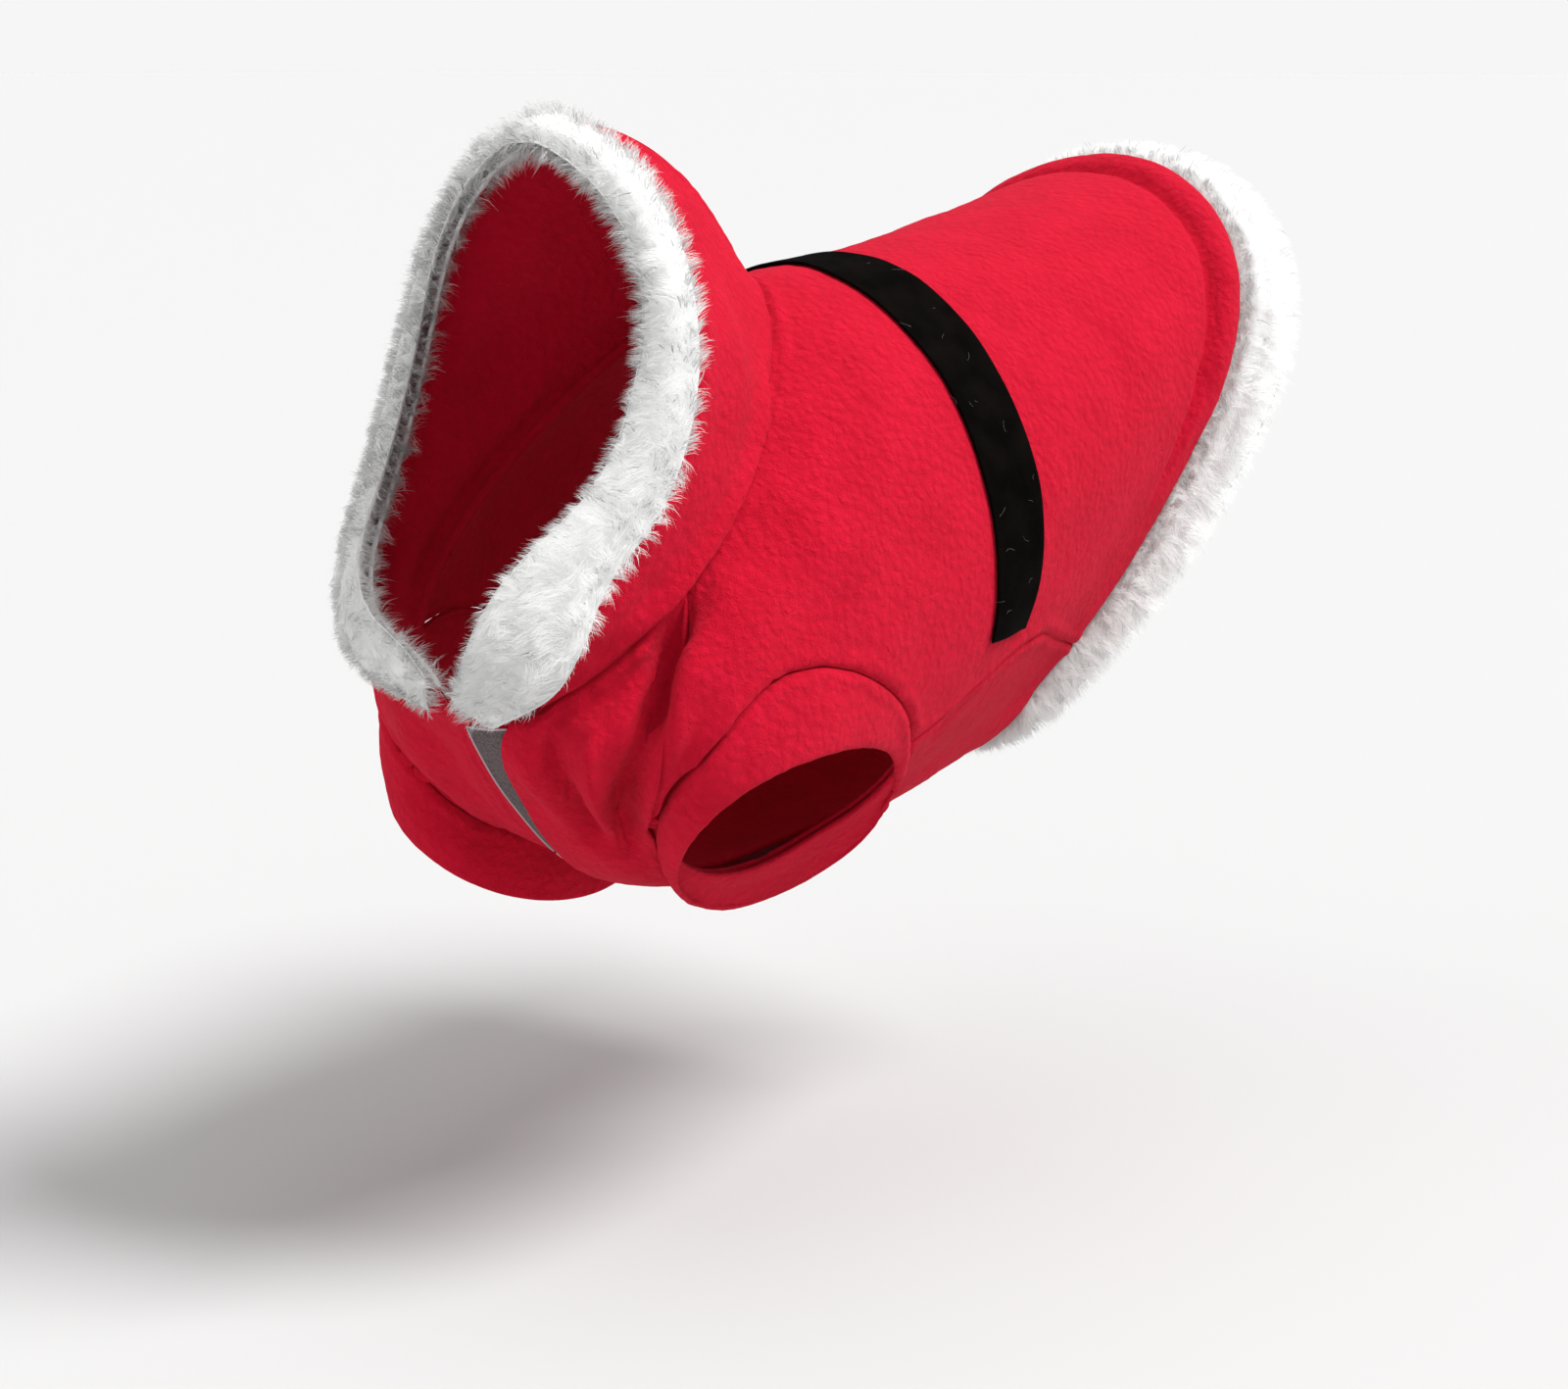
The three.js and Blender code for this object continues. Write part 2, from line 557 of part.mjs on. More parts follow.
function hemTrim() {
  const outer = halfRing(HEM_TRIM_EDGE);
  const hem = TRUNK_RINGS[TRUNK_RINGS.length - 1];
  const facing = vec(0, hem.topZ - hem.lowZ, hem.lowY - hem.topY).normalize();
  return plushBand(72, 1, (i) => {
    const reach = 1 - HEM_PLUSH_GAP / 2 / outer.total;
    const a = -reach + 2 * reach * i;
    const { p: seam, n: hemOut } = trunkSkin(1, a);
    seam.addScaledVector(facing, SEAM);
    const free = onRing(outer, a);
    const step = 0.01;
    const run = onRing(outer, a + step).sub(onRing(outer, a - step));
    const out = run.cross(free.clone().sub(seam)).normalize();
    return { seam, free, out, seamOut: hemOut };
  });
}

// The place on the trunk with this share of the way round whose distance behind the neck is y.
function trunkAtDistance(a, y) {
  let lo = 0;
  let hi = 1;
  for (let n = 0; n < 30; n++) {
    const mid = (lo + hi) / 2;
    if (trunkBase(mid, a).y < y) lo = mid;
    else hi = mid;
  }
  return (lo + hi) / 2;
}

function belt() {
  const reach = (j) => {
    let lo = 0.2;
    let hi = 0.9;
    for (let n = 0; n < 30; n++) {
      const mid = (lo + hi) / 2;
      const v = trunkAtDistance(mid, BELT_FRONT + BELT_DRIFT + j * BELT_WIDTH);
      if (trunkBase(v, mid).z > BELT_END_HEIGHT) lo = mid;
      else hi = mid;
    }
    return lo;
  };
  return wallFromGrid(40, 4, (i, j) => {
    const side = 2 * i - 1;
    const a = side * reach(j);
    const v = trunkAtDistance(a, BELT_FRONT + BELT_DRIFT * side * side + j * BELT_WIDTH);
    const { p, n } = trunkSkin(v, a, SEAM);
    return [p.clone().addScaledVector(n, VELVET), p];
  });
}

function closureTape() {
  return wallFromGrid(5, 16, (i, j) => {
    const v = TAPE_START + (TAPE_END - TAPE_START) * j;
    const a = 1 - (TAPE_EDGE + TAPE_WIDTH * i) / ringAt(v).total;
    const { p, n } = trunkSkin(v, a, LAP);
    return [p.clone().addScaledVector(n, TAPE), p];
  });
}

const coat = new THREE.Group();
function add(name, geometry, material) {
  geometry.computeVertexNormals();
  const mesh = new THREE.Mesh(geometry, material);
  mesh.name = name;
  coat.add(mesh);
}

const cutters = SLEEVES.map(armholeCutter);
add("back_panel", backPanel(cutters), FLEECE);
add("front_left", frontPanel(1, cutters[0]), FLEECE);
add("front_right", frontPanel(-1, cutters[1]), FLEECE);
add("sleeve_left", sleeveBand(SLEEVES[0]), FLEECE);
add("sleeve_right", sleeveBand(SLEEVES[1]), FLEECE);
add("hood_left", hoodHalf(1), FLEECE);
add("hood_right", hoodHalf(-1), FLEECE);
add("hood_trim", hoodTrim(), PLUSH);
add("hem_trim", hemTrim(), PLUSH);
add("belt", belt(), BLACK_VELVET);
add("closure_tape", closureTape(), LOOP_TAPE);

export default coat;
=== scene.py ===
import heapq
import math

import bmesh
import bpy
import numpy as np
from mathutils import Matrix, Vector, noise
from mathutils.bvhtree import BVHTree
from mathutils.kdtree import KDTree


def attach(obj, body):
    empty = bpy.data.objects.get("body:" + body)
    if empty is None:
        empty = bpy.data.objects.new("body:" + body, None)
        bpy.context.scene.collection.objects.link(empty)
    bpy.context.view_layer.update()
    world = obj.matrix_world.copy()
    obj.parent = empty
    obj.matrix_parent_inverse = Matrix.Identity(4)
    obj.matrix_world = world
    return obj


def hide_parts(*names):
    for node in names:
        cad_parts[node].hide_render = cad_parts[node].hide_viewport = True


# The looks of a dog santa coat, sewn piece by sewn piece, around its CAD frame. Metres, +Z up,
# the wearer faces -Y and its left side is +X.
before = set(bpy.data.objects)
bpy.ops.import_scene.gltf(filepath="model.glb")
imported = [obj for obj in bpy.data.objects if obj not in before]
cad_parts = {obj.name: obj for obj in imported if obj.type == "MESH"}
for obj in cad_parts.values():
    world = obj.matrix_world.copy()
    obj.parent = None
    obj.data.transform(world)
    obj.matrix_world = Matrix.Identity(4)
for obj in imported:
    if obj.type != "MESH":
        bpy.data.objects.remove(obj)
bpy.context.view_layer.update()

MM = 0.001
FLEECE = 2.4 * MM
VELVET = 1.2 * MM
TAPE = 1.4 * MM
WELD = 0.001 * MM
SHORT_EDGE = 1.3 * MM  # edges of a cut rim that are shorter than this are closed up
INNER_LEVEL = 2  # subdivisions of a shell's inner skin; its outer skin has one more
rng = np.random.default_rng(1225)

# Points that lie inside the hollow behind each piece, which tell its outer skin from its inner
TRUNK_INSIDE = (0, 0.05, -0.095)
HOOD_INSIDE = (0, -0.09, -0.04)
LEFT_SLEEVE_INSIDE = (0.062, -0.05, -0.19)
RIGHT_SLEEVE_INSIDE = (-0.069, -0.058, -0.19)

# The way that the plane of the hem faces
HEM_FACING = Vector((0, 0.903, -0.429))


def farthest(node, facing):
    """How far a CAD node reaches along a direction."""
    co = np.array([v.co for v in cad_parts[node].data.vertices])
    return float((co @ np.array(facing)).max())


HEM_REACH = farthest("back_panel", HEM_FACING)


def bump_noise(points, size, seed=0.0):
    """Smooth noise from -1 to 1 at each point, with lumps of about this size."""
    shift = Vector((seed, seed * 1.7, seed * 2.3))
    return np.array([noise.noise(Vector(p) / size + shift) for p in points])


def smooth_step(x):
    x = np.clip(x, 0, 1)
    return x * x * (3 - 2 * x)


def unit(vectors):
    return vectors / np.maximum(np.linalg.norm(vectors, axis=-1, keepdims=True), 1e-12)


def to_segment(points, a, b):
    """The distance of each point from a line between two ends, and its place along that line."""
    a, b = np.array(a) * MM, np.array(b) * MM
    along = np.clip(((points - a) @ (b - a)) / ((b - a) @ (b - a)), 0, 1)
    return np.linalg.norm(points - (a + along[:, None] * (b - a)), axis=1), along


def line_depth(points, line, width, depth):
    """A soft trough or ridge along a line of points in millimetres, which fades at both ends."""
    line = [np.array(p, float) for p in line]
    lengths = [np.linalg.norm(b - a) for a, b in zip(line, line[1:])]
    total, done = sum(lengths), 0.0
    best = np.full(len(points), 1e9)
    place = np.zeros(len(points))
    for a, b, length in zip(line, line[1:], lengths):
        distance, along = to_segment(points, a, b)
        nearer = distance < best
        best = np.where(nearer, distance, best)
        place = np.where(nearer, (done + along * length) / total, place)
        done += length
    fade = smooth_step(np.minimum(place, 1 - place) * 4 + 0.15)
    return depth * MM * fade * np.exp(-((best / (width * MM)) ** 2))


# Creases of the cloth: the pieces that they cross, a line of points in millimetres, the half
# width and the depth, which is negative for a trough.
TRUNK = ("back_panel", "front_left", "front_right")
HOOD = ("hood_left", "hood_right")
CREASES = [
    # the deep fold from the neck corner down to the closure, and the cloth that rolls over it
    (TRUNK, [(62, -104, -100), (62, -108, -110), (63, -114, -128), (66, -125, -145), (59, -127, -161),
             (49, -123, -174), (38, -110, -187), (36, -103, -199)], 5.5, -8.6),
    (TRUNK, [(72, -100, -108), (73, -114, -129), (71, -121, -143), (67, -124, -157), (58, -118, -172),
             (46, -105, -188), (42, -98, -200)], 6.0, 5.6),
    # the folds that fan out over the left front from the foot of the closure
    (TRUNK, [(37, -144, -138), (37, -146, -152), (37, -143, -161), (36, -137, -171), (32, -122, -185),
             (33, -108, -197)], 5.5, -7.0),
    (TRUNK, [(50, -135, -140), (47, -137, -157), (45, -132, -171), (38, -118, -186),
             (35, -105, -197)], 4.5, 5.2),
    (TRUNK, [(24, -149, -150), (25, -145, -163), (25, -136, -175), (27, -120, -190)], 4, 1.8),
    (TRUNK, [(60, -120, -118), (54, -131, -130), (45, -142, -137), (32, -149, -141)], 5, -3.4),
    (TRUNK, [(61, -116, -112), (54, -128, -122), (46, -139, -128)], 4.5, 2.4),
    # the far placket's two rows of stitches, and the near one
    (("front_right",), [(-4, -149, -146), (-9, -142, -159), (-9, -126, -180), (-13, -106, -201),
                        (-16, -84, -214)], 1.5, -0.9),
    (("front_right",), [(-12, -146, -152), (-14, -137, -165), (-15, -124, -182), (-21, -102, -203),
                        (-24, -82, -214)], 1.5, -0.8),
    # the neck's short fold behind the hood, and soft pulls over the shoulder
    (TRUNK, [(34, -22, -14), (44, -32, -28), (50, -42, -40)], 3.4, -1.5),
    (TRUNK, [(66, -86, -85), (72, -103, -110), (79, -114, -135)], 8, 1.8),
    (TRUNK, [(88, -79, -112), (91, -50, -101), (96, -16, -112)], 12, -1.3),
    (TRUNK, [(66, -60, -66), (80, -50, -84), (91, -30, -112), (94, -26, -138)], 14, 1.5),
    # the same on the right side
    (TRUNK, [(-64, -100, -100), (-72, -112, -128), (-74, -122, -150)], 6, -2.6),
    (TRUNK, [(-36, -22, -14), (-47, -34, -30), (-52, -46, -44)], 3.6, -1.3),
    (TRUNK, [(-66, -58, -64), (-82, -48, -86), (-92, -28, -114), (-95, -20, -140)], 14, 1.6),
    (TRUNK, [(-88, -79, -112), (-92, -48, -103), (-96, -12, -114)], 12, -1.4),
    (TRUNK, [(-31, -144, -149), (-25, -128, -174), (-31, -100, -203)], 6, -1.5),
    (TRUNK, [(-58, -134, -160), (-56, -122, -184), (-46, -104, -206)], 7, -1.6),
    (TRUNK, [(-44, -140, -152), (-44, -126, -180), (-38, -104, -204)], 8, 2.0),
    # where the rim's groove runs out down the flanks
    (TRUNK, [(87, 192, -33), (86, 197, -52), (82, 192, -74), (80, 176, -92)], 5, -1.2),
    (TRUNK, [(-87, 192, -33), (-86, 197, -52), (-82, 192, -74), (-80, 176, -92)], 5, -1.1),
    # slack over the back and the flanks
    (TRUNK, [(66, 132, -8), (88, 134, -36), (94, 120, -64)], 12, -1.0),
    (TRUNK, [(-60, 120, -4), (-88, 112, -40), (-95, 96, -74)], 13, -1.2),
    (TRUNK, [(94, 101, -90), (92, 84, -118), (84, 60, -144)], 10, -1.0),
    (TRUNK, [(-94, 104, -90), (-92, 82, -118), (-84, 58, -146)], 10, -1.0),
    (TRUNK, [(68, 34, -177), (79, 30, -166), (82, 50, -156)], 5, -1.5),
    (TRUNK, [(0, 10, -226), (6, 60, -222), (2, 110, -212)], 9, -1.2),
    (TRUNK, [(30, 0, -214), (34, 50, -206), (30, 96, -200)], 8, 1.0),
    # the hood's foot hangs over the neck seam
    (HOOD, [(40, -34, -26), (56, -60, -52), (63, -84, -74), (63, -99, -88), (59, -114, -102),
            (54, -134, -114)], 5.5, 4.4),
    (HOOD, [(-40, -34, -26), (-56, -60, -52), (-64, -84, -74), (-64, -99, -88), (-60, -114, -102),
            (-54, -134, -114)], 5.5, 4.0),
    # the hood: slack towards the neck seam and behind the plush
    (HOOD, [(34, -50, 20), (52, -62, -8), (60, -78, -40), (58, -96, -76)], 9, 1.6),
    (HOOD, [(24, -60, 40), (46, -74, 20), (64, -84, -14), (68, -98, -54)], 7, -1.4),
    (HOOD, [(-34, -50, 20), (-52, -62, -8), (-60, -78, -40), (-58, -96, -76)], 9, 1.5),
    (HOOD, [(-24, -60, 40), (-46, -74, 20), (-64, -84, -14), (-68, -98, -54)], 7, -1.5),
    (HOOD, [(62, -112, -88), (57, -130, -108), (48, -140, -122)], 5, -1.6),
    (HOOD, [(-64, -112, -90), (-58, -132, -112), (-48, -142, -124)], 5, -1.6),
]


def crease_offset(name, points):
    offset = np.zeros(len(points))
    for pieces, line, width, depth in CREASES:
        if name in pieces:
            offset += line_depth(points, line, width, depth)
    return offset


RIM_WIDTH = 17 * MM  # the raised rim along the hem, inside the plush
RIM_HEIGHT = 4.6 * MM
LOW_RIM_HEIGHT = 0.8 * MM  # under the belly
RIM_FOOT = -0.115  # the rim is low from here down, and grows to its full height over the fade
RIM_FADE = 0.07
GROOVE_DEPTH = 3.0 * MM
GROOVE_WIDTH = 2.8 * MM


def hem_rim(points):
    """The rim that the folded seam raises along the hem, with a groove in front of it."""
    behind = HEM_REACH - points @ np.array(HEM_FACING)
    high = smooth_step((points[:, 2] - RIM_FOOT) / RIM_FADE)
    bulge = np.sin(np.pi * np.clip(behind / RIM_WIDTH, 0, 1)) ** 0.7
    groove = np.exp(-(((behind - RIM_WIDTH * 1.08) / GROOVE_WIDTH) ** 2))
    return high * (RIM_HEIGHT * bulge - GROOVE_DEPTH * groove) + (1 - high) * LOW_RIM_HEIGHT * bulge


# The pieces that each piece is sewn to
SEWN_TO = {
    "back_panel": ("front_left", "front_right", "sleeve_left", "sleeve_right", "hood_left", "hood_right"),
    "front_left": ("back_panel", "sleeve_left", "hood_left"),
    "front_right": ("back_panel", "sleeve_right", "hood_right"),
    "sleeve_left": ("back_panel", "front_left"),
    "sleeve_right": ("back_panel", "front_right"),
    "hood_left": ("hood_right", "back_panel", "front_left"),
    "hood_right": ("hood_left", "back_panel", "front_right"),
}
SLEEVES = ("sleeve_left", "sleeve_right")
SEAM_CALM = 3 * MM  # folds and waves die away over this distance from an armhole or the neck seam
SEAM_PUFF = 0.9 * MM  # the cloth swells beside a seam by this much
NAP = 0.22 * MM


def tree_of(node):
    """A CAD node's surface, for distances and rays."""
    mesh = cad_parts[node].data
    return BVHTree.FromPolygons([v.co for v in mesh.vertices], [tuple(p.vertices) for p in mesh.polygons])


TREES = {node: tree_of(node) for node in (*SEWN_TO, "hood_trim", "hem_trim", "closure_tape")}


def distance_to(nodes, points):
    """The distance of each point from the nearest of these CAD nodes."""
    return np.array([min(TREES[node].find_nearest(Vector(p))[3] for node in nodes) for p in points])


def family(node):
    """The trunk, the hood or the sleeves: within one, the pieces share a smooth form."""
    return next((group for group in (TRUNK, HOOD) if node in group), SLEEVES)


def cloth_form(name, points):
    """How far the cloth stands off the CAD's surface, without its nap."""
    seam = distance_to(SEWN_TO[name], points)
    other = [node for node in SEWN_TO[name] if family(node) != family(name)]
    calm = smooth_step((distance_to(other, points) - 0.5 * MM) / SEAM_CALM)
    puckers = 1 + 0.5 * bump_noise(points, 5 * MM, 2.0)
    puff = SEAM_PUFF * puckers * np.exp(-(((seam - 4 * MM) / (2.6 * MM)) ** 2))
    waves = 0.9 * MM * bump_noise(points, 42 * MM, 3.0) + 0.4 * MM * bump_noise(points, 15 * MM, 9.0)
    if name in TRUNK:
        behind = HEM_REACH - points @ np.array(HEM_FACING)
        waves *= smooth_step(behind / (6 * MM))
        puff = puff + hem_rim(points)
    return calm * (waves + crease_offset(name, points)) + puff


def cloth_offset(name, points):
    return cloth_form(name, points) + NAP * bump_noise(points, 3.6 * MM, 5.0)


SMOOTH_BEND = 0.13  # one less the cosine of the sharpest join inside a skin


def smooth_parts(seeds, behind):
    """The faces that join up with each other from these ones on, the smoothest joins first.

    A face is left out once the face behind it, on the wall's other skin, is in.
    """
    parts, seen = [], set()
    for seed in seeds:
        if seed in seen:
            continue
        part, queue, order = set(), [(0.0, 0, seed)], 0
        while queue:
            face = heapq.heappop(queue)[2]
            if face in part or behind.get(face) in part:
                continue
            part.add(face)
            for edge in face.edges:
                for other in edge.link_faces:
                    bend = 1 - other.normal.dot(face.normal)
                    if other not in part and bend < SMOOTH_BEND:
                        order += 1
                        heapq.heappush(queue, (bend, order, other))
        seen |= part
        parts.append(part)
    return parts


def outward_flow(part, centre):
    """Large where the faces look away from the centre, and negative where they look at it."""
    return sum(f.calc_area() * f.normal.dot(f.calc_center_median() - centre) for f in part)


def outer_skin(node, inside, wall):
    """The outer skin of a CAD wall as an open mesh of mostly four-sided faces."""
    bm = bmesh.new()
    bm.from_mesh(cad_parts[node].data)
    bmesh.ops.remove_doubles(bm, verts=bm.verts, dist=WELD)
    bm.normal_update()
    bm.faces.ensure_lookup_table()
    tree = BVHTree.FromBMesh(bm)
    behind = {}
    for face in bm.faces:
        start = face.calc_center_median() - face.normal * 0.01 * MM
        hit, normal, index, _ = tree.ray_cast(start, -face.normal, 1.4 * wall)
        if hit and normal.dot(face.normal) < -0.85:
            behind[face] = bm.faces[index]
    found = set()
    for part in smooth_parts(list(behind), behind):
        if outward_flow(part, Vector(inside)) > 0:
            found |= {face for face in part if behind.get(face) not in found}
    for face in bm.faces:
        beside = [f for edge in face.edges for f in edge.link_faces if f is not face and f in found]
        if face not in found and behind.get(face) not in found and len(beside) > 1:
            found.add(face)
    bmesh.ops.delete(bm, geom=[f for f in bm.faces if f not in found], context="FACES")
    bmesh.ops.dissolve_degenerate(bm, dist=SHORT_EDGE, edges=bm.edges)
    bmesh.ops.join_triangles(
        bm, faces=bm.faces, angle_face_threshold=math.radians(25), angle_shape_threshold=math.radians(60)
    )
    mesh = bpy.data.meshes.new(node + "_skin")
    bm.to_mesh(mesh)
    bm.free()
    return mesh


def refined(mesh, level):
    """Points and four-sided faces of a mesh after smooth subdivision."""
    obj = bpy.data.objects.new("refining", mesh)
    bpy.context.scene.collection.objects.link(obj)
    modifier = obj.modifiers.new("smooth", "SUBSURF")
    modifier.levels = level
    modifier.boundary_smooth = "PRESERVE_CORNERS"
    done = obj.evaluated_get(bpy.context.evaluated_depsgraph_get()).to_mesh()
    points = np.empty(len(done.vertices) * 3)
    done.vertices.foreach_get("co", points)
    corners = np.empty(len(done.loops), int)
    done.loops.foreach_get("vertex_index", corners)
    bpy.data.objects.remove(obj)
    return points.reshape(-1, 3), corners.reshape(-1, 4)


def point_normals(points, faces):
    across = points[faces[:, 2]] - points[faces[:, 0]]
    down = points[faces[:, 3]] - points[faces[:, 1]]
    each = np.cross(across, down)
    normals = np.zeros_like(points)
    for corner in range(4):
        np.add.at(normals, faces[:, corner], each)
    return normals / np.maximum(np.linalg.norm(normals, axis=1)[:, None], 1e-12)


def rim_steps(faces):
    """The next point along the rim for each point on it, in the faces' own direction."""
    edges = {}
    for face in faces:
        for a, b in zip(face, np.roll(face, -1)):
            edges[(int(a), int(b))] = True
    return {a: b for a, b in edges if (b, a) not in edges}


def relaxed(points, faces, rounds):
    """Points moved towards their neighbours, away from the rim."""
    rim = rim_steps(faces)
    free = np.ones(len(points), bool)
    free[list(rim)] = False
    for _ in range(rounds):
        total = np.zeros_like(points)
        count = np.zeros(len(points))
        for k in range(4):
            for side in (1, 3):
                np.add.at(total, faces[:, k], points[faces[:, (k + side) % 4]])
                np.add.at(count, faces[:, k], 1)
        points = np.where(free[:, None], total / np.maximum(count, 1)[:, None], points)
    return points


RIM_ROUNDING = 0.2  # how far a rim's corner is drawn in, in wall thicknesses


def shell(name, node, inside, wall, offset):
    """A thin closed shell on the CAD wall's own form, with its rims rounded."""
    behind, behind_faces = refined(outer_skin(node, inside, wall), INNER_LEVEL)
    behind = relaxed(behind, behind_faces, 2)
    finer = bpy.data.meshes.new(name + "_finer")
    finer.from_pydata(behind.tolist(), [], behind_faces.tolist())
    points, faces = refined(finer, 1)
    normals, behind_normals = point_normals(points, faces), point_normals(behind, behind_faces)
    rim, behind_rim = rim_steps(faces), rim_steps(behind_faces)
    lift = offset(node, points)
    behind_lift = offset(node, behind) - wall
    lift[list(rim)] -= RIM_ROUNDING * wall
    behind_lift[list(behind_rim)] += RIM_ROUNDING * wall
    top = points + normals * lift[:, None]
    under = behind + behind_normals * behind_lift[:, None]
    base = len(top)
    polygons = [tuple(map(int, f)) for f in faces]
    polygons += [tuple(base + int(i) for i in f[::-1]) for f in behind_faces]
    for a, b in behind_rim.items():
        middle = rim[a]
        polygons += [(middle, a, base + a), (middle, base + a, base + b), (b, middle, base + b)]
    return made(name, np.vstack([top, under]), polygons)


def tube(name, path, radius, sides=6):
    """A round cord along a path of points, closed at both ends."""
    path = np.array(path)
    ahead = unit(np.gradient(path, axis=0))
    first = unit(np.cross(ahead, np.array((0.31, 0.52, 0.79))))
    second = np.cross(ahead, first)
    turns = np.arange(sides) * 2 * np.pi / sides
    ring = [first * math.cos(t) + second * math.sin(t) for t in turns]
    points = np.stack([path + radius * r for r in ring], axis=1).reshape(-1, 3)
    polygons = [tuple(range(sides))[::-1], tuple(len(points) - sides + k for k in range(sides))]
    for i in range(len(path) - 1):
        for k in range(sides):
            a, b = i * sides + k, i * sides + (k + 1) % sides
            polygons.append((a, b, b + sides, a + sides))
    return made(name, points, polygons)


SEWN_WITHIN = 1.6 * MM  # a rim that is nearer than this to another piece is sewn to it
ALLOWANCE_DEPTH = 1.6 * MM  # the folded edges inside a seam lie this far under the surface
ALLOWANCE_RADIUS = 1.2 * MM
SHORTEST_RUN = 8  # points of a rim that are worth a cord


def seam_runs(node, inside, others, wall=FLEECE, depth=ALLOWANCE_DEPTH, beyond=0.0, within=SEWN_WITHIN):
    """The stretches of a piece's rim beside other pieces, this deep under it and this far past it."""
    behind, faces = refined(outer_skin(node, inside, wall), INNER_LEVEL)
    normals = point_normals(behind, faces)
    steps = rim_steps(faces)
    distance = dict(zip(steps, distance_to(others, behind[list(steps)])))
    sewn = {i for i in steps if distance[i] < within}
    runs, left = [], set(sewn)
    before = {b: a for a, b in steps.items()}
    while left:
        start = next(iter(left))
        i = start
        while before[i] in left and before[i] != start:
            i = before[i]
        run = []
        while i in left:
            left.discard(i)
            past = unit(np.cross(behind[steps[i]] - behind[before[i]], normals[i]))
            run.append(behind[i] - normals[i] * depth + past * beyond)
            i = steps[i]
        if len(run) > SHORTEST_RUN:
            runs.append(np.array(run + ([run[0]] if i == start and start not in left else [])))
    return runs


def made(name, points, polygons):
    """A smooth shaded mesh object in the scene."""
    mesh = bpy.data.meshes.new(name)
    mesh.from_pydata([tuple(p) for p in points], [], polygons)
    mesh.validate()
    mesh.shade_smooth()
    obj = bpy.data.objects.new(name, mesh)
    bpy.context.scene.collection.objects.link(obj)
    return obj


def nodes_of(name):
    material = bpy.data.materials.new(name)
    material.use_nodes = True
    tree = material.node_tree
    return material, tree, tree.nodes["Principled BSDF"]


def add_node(tree, kind, **values):
    node = tree.nodes.new(kind)
    for key, value in values.items():
        if key in node.inputs:
            node.inputs[key].default_value = value
        else:
            setattr(node, key, value)
    return node


def colour_ramp(tree, stops):
    node = tree.nodes.new("ShaderNodeValToRGB")
    ramp = node.color_ramp
    while len(ramp.elements) < len(stops):
        ramp.elements.new(0.5)
    for element, (place, colour) in zip(ramp.elements, stops):
        element.position = place
        element.color = (*colour, 1)
    return node


def bumped(tree, shader, height, strength, distance):
    """Gives a shader a bump of this depth."""
    bump = add_node(tree, "ShaderNodeBump", Strength=strength, Distance=distance)
    tree.links.new(height, bump.inputs["Height"])
    tree.links.new(bump.outputs["Normal"], shader.inputs["Normal"])


def tinted(tree, shader, place, stops):
    """Colours a shader by a ramp, and returns the ramp's colour."""
    ramp = colour_ramp(tree, stops)
    tree.links.new(place, ramp.inputs["Fac"])
    tree.links.new(ramp.outputs["Color"], shader.inputs["Base Color"])
    return ramp.outputs["Color"]


def plain_material(name, colour, roughness):
    """A material of one even colour."""
    material, _, shader = nodes_of(name)
    shader.inputs["Base Color"].default_value = (*colour, 1)
    shader.inputs["Roughness"].default_value = roughness
    return material


def fleece_material():
    """Red fleece: matted curls about 3 mm across, with winding valleys between them painted darker as
    shade, and a fine fuzz.
    """
    material, tree, shader = nodes_of("red_fleece")
    link = tree.links.new
    place = add_node(tree, "ShaderNodeTexCoord")
    warp = add_node(tree, "ShaderNodeTexNoise", Scale=200.0, Detail=2.0)
    fuzz = add_node(tree, "ShaderNodeTexNoise", Scale=1500.0, Detail=3.0, Roughness=0.75)
    patches = add_node(tree, "ShaderNodeTexNoise", Scale=45.0, Detail=3.0)
    for node in (warp, fuzz, patches):
        link(place.outputs["Object"], node.inputs["Vector"])
    shift = add_node(tree, "ShaderNodeVectorMath", operation="MULTIPLY_ADD")
    shift.inputs[1].default_value = (4 * MM, 4 * MM, 4 * MM)
    link(warp.outputs["Color"], shift.inputs[0])
    link(place.outputs["Object"], shift.inputs[2])
    curls = add_node(tree, "ShaderNodeTexVoronoi", feature="SMOOTH_F1", Scale=300.0, Smoothness=0.7)
    link(shift.outputs["Vector"], curls.inputs["Vector"])
    low = add_node(tree, "ShaderNodeMath", operation="MULTIPLY")
    low.inputs[1].default_value = -1.1
    link(curls.outputs["Distance"], low.inputs[0])
    height = add_node(tree, "ShaderNodeMath", operation="MULTIPLY_ADD")
    height.inputs[1].default_value = 0.8
    link(fuzz.outputs["Fac"], height.inputs[0])
    link(low.outputs["Value"], height.inputs[2])
    bumped(tree, shader, height.outputs["Value"], 0.8, 1.7 * MM)
    # Painted shade: the colour darkens with the curls' height, so the valleys between the curls are
    # darker; the broad patches add random tone.
    valley_shade_and_tone = add_node(tree, "ShaderNodeMath", operation="MULTIPLY_ADD")
    valley_shade_and_tone.inputs[1].default_value = 0.35
    link(height.outputs["Value"], valley_shade_and_tone.inputs[0])
    link(patches.outputs["Fac"], valley_shade_and_tone.inputs[2])
    reds = [(0.15, (0.56, 0.003, 0.023)), (0.7, (0.66, 0.005, 0.031))]
    tinted(tree, shader, valley_shade_and_tone.outputs["Value"], reds)
    shader.inputs["Roughness"].default_value = 0.95
    shader.inputs["Specular IOR Level"].default_value = 0.12
    shader.inputs["Sheen Weight"].default_value = 0.1
    shader.inputs["Sheen Roughness"].default_value = 0.4
    shader.inputs["Sheen Tint"].default_value = (1.0, 0.2, 0.28, 1)
    return material


